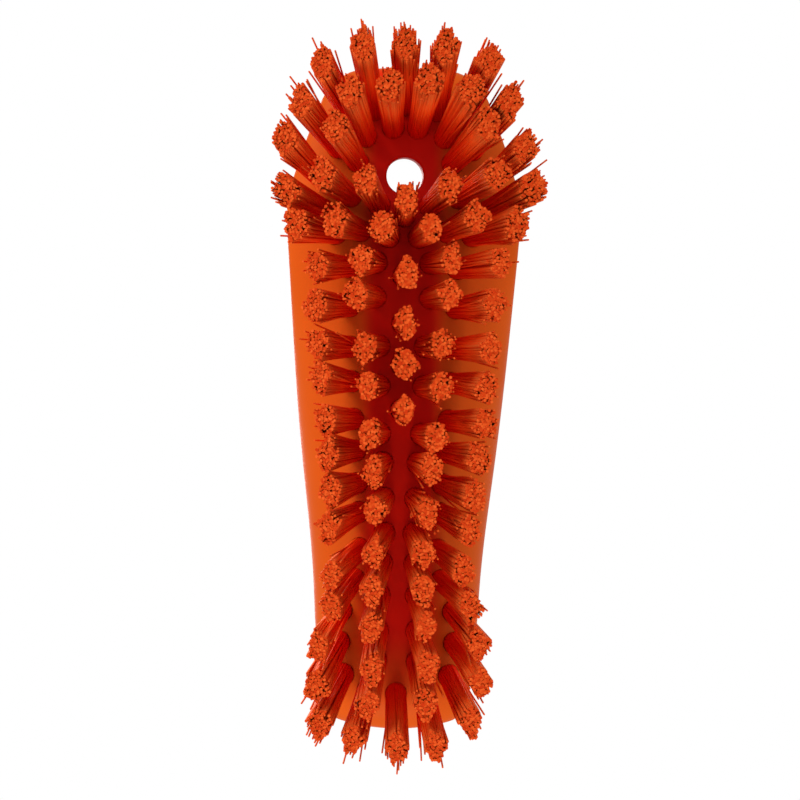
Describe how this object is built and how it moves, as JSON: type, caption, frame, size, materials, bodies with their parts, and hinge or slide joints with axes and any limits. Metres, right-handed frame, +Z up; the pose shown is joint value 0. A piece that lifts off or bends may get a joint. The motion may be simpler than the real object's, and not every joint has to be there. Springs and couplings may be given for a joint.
{
  "type": "scrub brush",
  "caption": "Hand scrub brush: a moulded plastic block with a humped grip and a wide nose pierced for hanging, filled below with splayed tufts of stiff bristle.",
  "frame": {"origin": "on the ground, under the middle of the whole brush's box", "axes": "+Z up from the bristle tips to the grip, +X along the brush towards the wide nose with the hanging hole, +Y to the left"},
  "size_m": [0.194, 0.0707, 0.0699],
  "materials": {
    "block_plastic": "moulded polypropylene, satin with a fine moulded grain",
    "bristle": "solid-coloured stiff polyester filament, straight, cut ends"
  },
  "bodies": {
    "root": {"block": "block_plastic", "middle_tuft_01": "bristle", "middle_tuft_02": "bristle", "middle_tuft_03": "bristle", "middle_tuft_04": "bristle", "neck_tuft_left_01": "bristle", "neck_tuft_left_02": "bristle", "neck_tuft_middle": "bristle", "neck_tuft_right_01": "bristle", "neck_tuft_right_02": "bristle", "nose_tuft_front": "bristle", "nose_tufts_left_01": "bristle", "nose_tufts_left_02": "bristle", "nose_tufts_left_03": "bristle", "nose_tufts_left_04": "bristle", "nose_tufts_left_05": "bristle", "nose_tufts_left_06": "bristle", "nose_tufts_right_01": "bristle", "nose_tufts_right_02": "bristle", "nose_tufts_right_03": "bristle", "nose_tufts_right_04": "bristle", "nose_tufts_right_05": "bristle", "nose_tufts_right_06": "bristle", "side_tufts_left_01": "bristle", "side_tufts_left_02": "bristle", "side_tufts_left_03": "bristle", "side_tufts_left_04": "bristle", "side_tufts_left_05": "bristle", "side_tufts_left_06": "bristle", "side_tufts_left_07": "bristle", "side_tufts_left_08": "bristle", "side_tufts_left_09": "bristle", "side_tufts_left_10": "bristle", "side_tufts_left_11": "bristle", "side_tufts_left_12": "bristle", "side_tufts_left_13": "bristle", "side_tufts_right_01": "bristle", "side_tufts_right_02": "bristle", "side_tufts_right_03": "bristle", "side_tufts_right_04": "bristle", "side_tufts_right_05": "bristle", "side_tufts_right_06": "bristle", "side_tufts_right_07": "bristle", "side_tufts_right_08": "bristle", "side_tufts_right_09": "bristle", "side_tufts_right_10": "bristle", "side_tufts_right_11": "bristle", "side_tufts_right_12": "bristle", "side_tufts_right_13": "bristle", "tail_tuft_left": "bristle", "tail_tuft_middle": "bristle", "tail_tuft_right": "bristle"}
  },
  "joints": []
}
